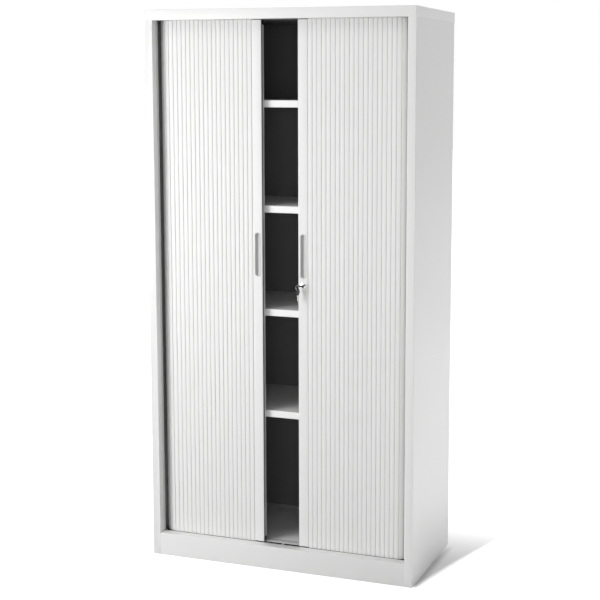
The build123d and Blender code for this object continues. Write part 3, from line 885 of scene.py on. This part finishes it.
def right_stile():
    """The stile that carries the lock."""
    piece = stile_body()
    lock_hole = rod(
        "lock_hole", (STILE_MIDDLE, DOOR_FRONT, LOCK_Z), LOCK_HOLE_RADIUS, LOCK_HOLE_DEPTH
    )
    cut(piece, hook_slot(), lock_hole)
    on_door(piece, "right", "stile", stile_plastic)


def left_stile():
    """The stile that catches the hook, with its groove for the buffer strip."""
    piece = stile_body()
    groove = block(
        "groove", (-OVERLAP, DOOR_FRONT + BUFFER_GROOVE[0], STILE_BOTTOM - OVERLAP),
        (BUFFER_GROOVE_DEPTH, DOOR_FRONT + BUFFER_GROOVE[1], STILE_TOP + OVERLAP),
    )
    cut(piece, hook_slot(), groove)
    on_door(piece, "left", "stile", stile_plastic)


def stand_in(piece, node, body, material, matrix=Matrix()):
    """Carries a modelled piece to its place on a body and hides the node it stands for."""
    smooth(piece)
    finished = placed_copy(piece, f"{node}_shape", matrix)
    bpy.data.objects.remove(piece)
    painted(finished, material)
    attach(finished, body)
    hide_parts(node)


def on_door(piece, side, part, material):
    """A piece of the left or the right door."""
    stand_in(piece, f"{side}_{part}", f"{side}_door", material, door_matrix(side))


# Grip cups

def grip_cup():
    """A pill-shaped cup behind a raised rim, deepest under its left edge."""
    rim_y = DOOR_FRONT - GRIP_RIM
    piece = pill("cup", GRIP_WIDTH, GRIP_HEIGHT, rim_y, DOOR_FRONT)
    edit(piece)
    choose("FACE", lambda face: face.normal.y > FACING)
    bpy.ops.mesh.inset(thickness=GRIP_BACK_INSET)
    pull(y=GRIP_DEPTH)
    bpy.ops.mesh.region_to_loop()
    round_off(GRIP_BACK_ROUND)
    choose("FACE", lambda face: face.normal.y < -FACING)
    bpy.ops.mesh.inset(thickness=GRIP_WALL)
    pull(y=GRIP_DEPTH - GRIP_FLOOR_LIFT)
    scoop_the_floor(piece)
    bpy.ops.mesh.region_to_loop()
    round_off(GRIP_FLOOR_ROUND, 4)
    choose_rim(rim_y)
    round_off(GRIP_RIM_ROUND)
    close_edit()
    return piece


def scoop_the_floor(piece):
    """Undercuts the left wall and lets the floor of the cup rise to the right."""
    mesh = bmesh.from_edit_mesh(piece.data)
    half = GRIP_WIDTH / 2 - GRIP_WALL
    for vertex in mesh.verts:
        if vertex.select:
            across = (vertex.co.x - STILE_MIDDLE + half) / (2 * half)
            vertex.co.y -= GRIP_RISE * across
            vertex.co.x -= GRIP_UNDERCUT * (1 - across)
    bmesh.update_edit_mesh(piece.data)


def grips():
    """The same cup on both doors, in a grey that paints shade into its hollow."""
    for side in OPENINGS:
        node = f"{side}_grip_cup"
        place = Matrix.Translation((centre_of(node).x - STILE_MIDDLE, 0, 0))
        stand_in(grip_cup(), node, f"{side}_door", grip_shade_grey, place)


# Sliders

def slider():
    """The moulded foot of a stile: block in the notch, spigot in the box, tongue in the track."""
    shoulder_top = STILE_BOTTOM + NOTCH_HEIGHT - SLIDER_PLAY
    piece = block(
        "slider", (SHOULDER_ACROSS[0], DOOR_FRONT + SHOULDER_FRONT, STILE_BOTTOM),
        (SHOULDER_ACROSS[1], STILE_BACK - SHOULDER_BACK, shoulder_top),
    )
    spigot = block(
        "spigot", (SPIGOT_ACROSS[0], DOOR_FRONT + SPIGOT_INSET, shoulder_top - OVERLAP),
        (SPIGOT_ACROSS[1], STILE_BACK - SPIGOT_INSET, shoulder_top + SPIGOT_HEIGHT),
    )
    tongue = block(
        "tongue", (TONGUE_ACROSS[0], DOOR_FRONT + TONGUE_DEEP[0], SLAT_BOTTOM),
        (TONGUE_ACROSS[1], DOOR_FRONT + TONGUE_DEEP[1], STILE_BOTTOM + OVERLAP),
    )
    join_up(piece, spigot, tongue)
    ease_edges(piece, SLIDER_EDGE)
    return piece


def sliders():
    """One below and one above each stile."""
    turned_over = Matrix.Translation((0, 0, 2 * MIDDLE_Z)) @ Matrix.Diagonal((1, 1, -1, 1))
    for side in OPENINGS:
        for end, matrix in (("bottom", Matrix()), ("top", turned_over)):
            stand_in(
                slider(), f"{side}_{end}_slider", f"{side}_door", black_moulding,
                door_matrix(side) @ matrix,
            )


# Lock, modelled on the door before it is carried out

def along_the_lock(name, radius, start, end):
    """A round bar on the lock's axis between two depths from the stile's face."""
    centre = (STILE_MIDDLE, DOOR_FRONT + (start + end) / 2, LOCK_Z)
    return rod(name, centre, radius, end - start, sides=ROUND_SIDES)


def lock_housing():
    """The barrel with its round face on the stile."""
    piece = along_the_lock("housing", ROSE_RADIUS, -ROSE_HEIGHT, 0)
    edit(piece)
    choose_rim(DOOR_FRONT - ROSE_HEIGHT)
    round_off(ROSE_ROUND, 4)
    close_edit()
    join_up(piece, along_the_lock("barrel", BARREL_RADIUS, -OVERLAP, BARREL_DEPTH))
    bore = along_the_lock(
        "bore", PLUG_RADIUS + PLUG_PLAY, -BORE_FRONT, BARREL_DEPTH + BORE_PAST
    )
    cut(piece, bore)
    stand_in(
        piece, "lock_housing", "right_door", chrome_plate, door_matrix("right")
    )


def lock_plug():
    """The plug with its flat keyway and the square for the hook."""
    piece = along_the_lock("plug", PLUG_RADIUS, -PLUG_HEIGHT, BARREL_DEPTH + PLUG_PAST)
    edit(piece)
    choose_rim(DOOR_FRONT - PLUG_HEIGHT)
    round_off(PLUG_ROUND, 2)
    close_edit()
    half = KEY_THICKNESS / 2 + KEYWAY_PLAY
    back = DOOR_FRONT + BARREL_DEPTH
    keyway = block(
        "keyway", (STILE_MIDDLE - KEYWAY_HALF, DOOR_FRONT - BORE_FRONT, LOCK_Z - half),
        (STILE_MIDDLE + KEYWAY_HALF, back - KEYWAY_END, LOCK_Z + half),
    )
    square = block(
        "square", (STILE_MIDDLE - SQUARE_HALF, back, LOCK_Z - SQUARE_HALF),
        (STILE_MIDDLE + SQUARE_HALF, back + SQUARE_LENGTH, LOCK_Z + SQUARE_HALF),
    )
    join_up(piece, square)
    cut(piece, keyway)
    stand_in(piece, "lock_plug", "lock", chrome_plate, door_matrix("right"))


# Keys, modelled flat with the bow's centre at the origin and the blade towards +Y

def key_head():
    """The moulded head: a round bow with a cross slot and the collar of the blade."""
    half = HEAD_THICKNESS / 2
    piece = rod("head", (0, 0, 0), BOW_RADIUS, HEAD_THICKNESS, ALONG_Z, ROUND_SIDES)
    collar_end = BOW_RADIUS + COLLAR_PAST
    join_up(piece, block("collar", (-COLLAR_HALF, 0, -half), (COLLAR_HALF, collar_end, half)))
    slot = rod(
        "slot", (0, -BOW_SLOT_OFFSET, 0), BOW_SLOT_RADIUS, KEY_CUTTER, ALONG_Z, BOW_SLOT_SIDES
    )
    pull_apart(slot, X_AXIS, BOW_SLOT_REACH, lambda place: math.copysign(1, place.x) > 0)
    cut(piece, slot)
    ease_edges(piece, HEAD_EDGE, 3)
    return piece


def key_blade():
    """The metal of the key: shoulder, blade with its cuts and a milled groove on each face."""
    half = KEY_THICKNESS / 2
    start = BOW_RADIUS + SHOULDER_LENGTH
    end = start + BLADE_LENGTH
    piece = block("blade", (-BLADE_HALF, start - BLADE_ROOT, -half), (BLADE_HALF, end, half))
    edit(piece)
    choose("EDGE", lambda edge: is_along(edge, Z_AXIS) and middle(edge).y > end - ON_PLANE)
    round_off(BLADE_TIP, 1)
    close_edit()
    shoulder = block(
        "shoulder", (-SHOULDER_HALF, BOW_RADIUS, -half), (SHOULDER_HALF, start, half)
    )
    join_up(piece, shoulder)
    cut(piece, *key_cuts(start), *milled_grooves(start, end, half))
    ease_edges(piece, KEY_EDGE, 1)
    return piece


def key_cuts(start):
    """The notches along one edge of the blade."""
    places = [
        (BLADE_HALF, start + BIT_START + BIT_PITCH * number, 0) for number in range(BIT_COUNT)
    ]
    return [rod("cut", place, BIT_RADIUS, KEY_CUTTER, ALONG_Z, BIT_SIDES) for place in places]


def milled_grooves(start, end, half):
    """A groove along each face of the blade."""
    near, far = MILLED_ACROSS
    return [
        block(
            "groove", (near, start + OVERLAP, z - MILLED_DEPTH),
            (far, end + OVERLAP, z + MILLED_DEPTH),
        )
        for z in (-half, half)
    ]


def keys():
    """The key in the lock with its bow flat, and the spare hanging edge-on from the ring."""
    lying = Matrix.Translation(centre_of("key_head"))
    hanging = (
        Matrix.Translation(centre_of("spare_key_head"))
        @ Matrix.Rotation(math.pi / 2, 4, "Y")
        @ Matrix.Rotation(-math.pi / 2, 4, "Z")
    )
    for name, matrix in (("key", lying), ("spare_key", hanging)):
        stand_in(key_head(), f"{name}_head", name, black_moulding, matrix)
        stand_in(key_blade(), name, name, nickel_plate, matrix)


def key_ring():
    """A split ring: two turns of wire side by side."""
    low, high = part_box("key_ring")
    radius = (high.x - low.x) / 2 - RING_WIRE
    turns = []
    for side in (-1, 1):
        nothing_selected()
        place = centre_of("key_ring") + Vector((0, side * RING_WIRE / 2, 0))
        bpy.ops.mesh.primitive_torus_add(
            location=place, rotation=ALONG_Y, major_radius=radius,
            minor_radius=RING_WIRE / 2, major_segments=96, minor_segments=14,
        )
        turns.append(settled(bpy.context.object, "turn"))
    for turn in turns:
        turn.select_set(True)
    bpy.context.view_layer.objects.active = turns[0]
    bpy.ops.object.join()
    stand_in(turns[0], "key_ring", "key_ring", zinc_plate)


# Back panel rivets

def rivet_pattern(front, back):
    """A domed pop rivet with the sunken stub of its mandrel."""
    pattern = rod(
        "rivet", (0, (front + back) / 2, 0), RIVET_RADIUS, back - front, sides=RIVET_SIDES
    )
    edit(pattern)
    choose("FACE", lambda face: face.normal.y > FACING)
    bpy.ops.mesh.inset(thickness=MANDREL_INSET)
    pull(y=-MANDREL_SUNK)
    choose_rim(back, RIVET_RIM_EDGE)
    round_off(RIVET_ROUND)
    close_edit()
    smooth(pattern)
    return pattern


def rivets():
    """A column of rivets down both edges of the back panel."""
    low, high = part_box("back_rivets")
    pattern = rivet_pattern(low.y, high.y)
    columns = {"left": low.x + RIVET_RADIUS, "right": high.x - RIVET_RADIUS}
    for side, column in columns.items():
        for row in range(RIVET_ROWS):
            height = low.z + RIVET_RADIUS + RIVET_PITCH * row
            place = Matrix.Translation((column, 0, height))
            rivet = placed_copy(pattern, f"{side}_rivet_{row + 1}", place)
            painted(rivet, zinc_plate)
            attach(rivet, "cabinet")
            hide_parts("back_rivets")
    bpy.data.objects.remove(pattern)


# Lamps, each with its place, its size and its power

WORLD_FILL = 0.36
LAMP_AIM = (0, 0, 1.0)
LAMPS = (
    ("left_light", (-1.5, -2.1, 1.4), 1.2, 20),
    ("front_left_light", (-2.2, -3.1, 0.6), 1.2, 25),
    ("camera_light", (1.7, -4.8, 1.5), 1.6, 17),
    ("top_light", (-1.5, -2.4, 4.0), 2.2, 39),
    ("low_right_light", (2.3, 0.0, 0.5), 1.0, 7.2),
    ("high_right_light", (2.3, 0.0, 2.7), 1.0, 5.4),
    ("back_light", (-0.8, 4.2, 2.2), 2.5, 60),
)


def soft_lamp(name, place, size, power):
    """A square lamp aimed at the middle of the doors."""
    data = bpy.data.lights.new(name, "AREA")
    data.size = size
    data.energy = power
    lamp = bpy.data.objects.new(name, data)
    bpy.context.scene.collection.objects.link(lamp)
    lamp.location = place
    direction = Vector(LAMP_AIM) - Vector(place)
    lamp.rotation_euler = direction.to_track_quat("-Z", "Y").to_euler()


def seen_directly(tree):
    """1 for camera, glossy and transmission rays, 0 for light on the object."""
    path = tree.nodes.new("ShaderNodeLightPath")
    shiny = math_node(
        tree, "MAXIMUM", path.outputs["Is Camera Ray"], path.outputs["Is Glossy Ray"]
    )
    return math_node(tree, "MAXIMUM", shiny, path.outputs["Is Transmission Ray"])


def surround():
    """White to look at, dimmer as a light."""
    world = bpy.data.worlds.new("studio")
    bpy.context.scene.world = world
    world.use_nodes = True
    tree = world.node_tree
    background = tree.nodes["Background"]
    background.inputs["Color"].default_value = (1, 1, 1, 1)
    strength = ranged(tree, seen_directly(tree), WORLD_FILL, 1.0)
    tree.links.new(strength, background.inputs["Strength"])


# Floor

# Its white glow leaves off in a wedge at the right and behind, inside three edges that are each
# a direction and a distance. The wedge's outline is a painted shadow outline: inside it the floor
# shows its own light and the cabinet's real shadow, which read grey against the white glow.
# Its own colour is FLOOR_TONE at the right and behind, and a darker grey in front, at the left
# and in a band along the cabinet's right base line. The band is a painted contact shadow; the
# grey in front and at the left lies under the white glow.

FLOOR_SIZE = 60
FLOOR_LIFT = 0.04
FADE_REACH = 0.05
# The wedge's edges draw a painted outline for the cabinet's shadow on the floor.
PAINTED_SHADOW_EDGES = (
    ((1, -0.25, 0), 0.545),
    ((0, -1, 0), 0.2),
    ((-1, 0, 0), 0.42),
)
BACK_FADE = (0.0, 0.75)
DEEP_INSIDE = -10.0
FLOOR_TONE = 0.8
# Grey painted as a contact shadow in a band along the cabinet's right base line: its tone, width
# and fade.
CONTACT_SHADE_TONE = 0.45
CONTACT_SHADE_REACH = 0.035
CONTACT_SHADE_FADE = (0.0, 0.3)
SIDE_X = 0.5
TO_THE_RIGHT = (1, 0, 0)
TO_THE_BACK = (0, 1, 0)


def along(tree, vector, direction):
    """How far the vector reaches in a direction."""
    node = tree.nodes.new("ShaderNodeVectorMath")
    node.operation = "DOT_PRODUCT"
    tree.links.new(vector, node.inputs[0])
    node.inputs[1].default_value = direction
    return node.outputs["Value"]


def eased(tree, value, start, end, low, high):
    """Maps start..end to low..high with soft ends."""
    node = tree.nodes.new("ShaderNodeMapRange")
    node.interpolation_type = "SMOOTHSTEP"
    tree.links.new(value, node.inputs["Value"])
    settings = (("From Min", start), ("From Max", end), ("To Min", low), ("To Max", high))
    for socket, setting in settings:
        node.inputs[socket].default_value = setting
    return node.outputs["Result"]


def floor_glow(tree, place):
    """FLOOR_LIFT in the wedge whose outline is a painted shadow outline, and 1, plain white,
    outside it.
    """
    beyond = DEEP_INSIDE
    for direction, limit in PAINTED_SHADOW_EDGES:
        outward = math_node(tree, "SUBTRACT", along(tree, place, direction), limit)
        beyond = math_node(tree, "MAXIMUM", beyond, outward)
    outside = eased(tree, beyond, 0.0, FADE_REACH, FLOOR_LIFT, 1.0)
    behind = eased(tree, along(tree, place, TO_THE_BACK), *BACK_FADE, FLOOR_LIFT, 1.0)
    return math_node(tree, "MAXIMUM", outside, behind)


def floor_tone_with_painted_shade(tree, place):
    """The floor's own colour: grey in front and at the left, a painted contact shadow along the
    right base line, else pale.
    """
    sideways = math_node(tree, "SUBTRACT", along(tree, place, TO_THE_RIGHT), SIDE_X)
    backwards = along(tree, place, TO_THE_BACK)
    fading = eased(tree, backwards, *CONTACT_SHADE_FADE, 0.0, CONTACT_SHADE_REACH)
    shade_distance = math_node(tree, "MAXIMUM", sideways, fading)
    return eased(tree, shade_distance, 0.0, CONTACT_SHADE_REACH, CONTACT_SHADE_TONE, FLOOR_TONE)


def floor_material():
    """A matt floor that adds its white glow only for rays that see it directly."""
    material = bpy.data.materials.new("studio_floor")
    material.use_nodes = True
    tree = material.node_tree
    tree.nodes.clear()
    place = tree.nodes.new("ShaderNodeTexCoord").outputs["Object"]
    diffuse = tree.nodes.new("ShaderNodeBsdfDiffuse")
    tree.links.new(floor_tone_with_painted_shade(tree, place), diffuse.inputs["Color"])
    glow = tree.nodes.new("ShaderNodeEmission")
    strength = math_node(tree, "MULTIPLY", seen_directly(tree), floor_glow(tree, place))
    tree.links.new(strength, glow.inputs["Strength"])
    both = tree.nodes.new("ShaderNodeAddShader")
    output = tree.nodes.new("ShaderNodeOutputMaterial")
    tree.links.new(diffuse.outputs["BSDF"], both.inputs[0])
    tree.links.new(glow.outputs["Emission"], both.inputs[1])
    tree.links.new(both.outputs["Shader"], output.inputs["Surface"])
    return material


def studio():
    """The floor, the white surround and the lamps."""
    nothing_selected()
    bpy.ops.mesh.primitive_plane_add(size=FLOOR_SIZE, location=(0, 0, 0))
    floor = bpy.context.object
    floor.name = "floor"
    painted(floor, floor_material())
    surround()
    for name, place, size, power in LAMPS:
        soft_lamp(name, place, size, power)


# Camera

FOCAL_PIXELS = 1303.293
IMAGE_PIXELS = 600
SENSOR = 36.0
VIEW_REACH = 100
CAMERA_PLACE = (1.75398, -4.36441, 1.71823)
CAMERA_YAW = 0.33723
CAMERA_PITCH = -0.12906
CAMERA_ROLL = 0.0033
SHIFT_RIGHT_PIXELS = 60
SHIFT_UP_PIXELS = 45


def camera():
    """The photograph's viewpoint."""
    data = bpy.data.cameras.new("camera")
    data.sensor_fit = "HORIZONTAL"
    data.sensor_width = SENSOR
    data.lens = FOCAL_PIXELS / IMAGE_PIXELS * SENSOR
    data.shift_x = -SHIFT_RIGHT_PIXELS / IMAGE_PIXELS
    data.shift_y = -SHIFT_UP_PIXELS / IMAGE_PIXELS
    data.clip_end = VIEW_REACH
    holder = bpy.data.objects.new("camera", data)
    bpy.context.scene.collection.objects.link(holder)
    turn = (
        Matrix.Rotation(CAMERA_YAW, 4, "Z")
        @ Matrix.Rotation(math.pi / 2 + CAMERA_PITCH, 4, "X")
        @ Matrix.Rotation(CAMERA_ROLL, 4, "Z")
    )
    holder.matrix_world = Matrix.Translation(CAMERA_PLACE) @ turn
    bpy.context.scene.camera = holder


# Building

finish_the_frame()
body_pieces()
door_hardware()
for side in OPENINGS:
    tambour(side)
right_stile()
left_stile()
grips()
sliders()
lock_housing()
lock_plug()
keys()
key_ring()
rivets()
studio()
camera()
bpy.context.scene.view_settings.view_transform = "Standard"
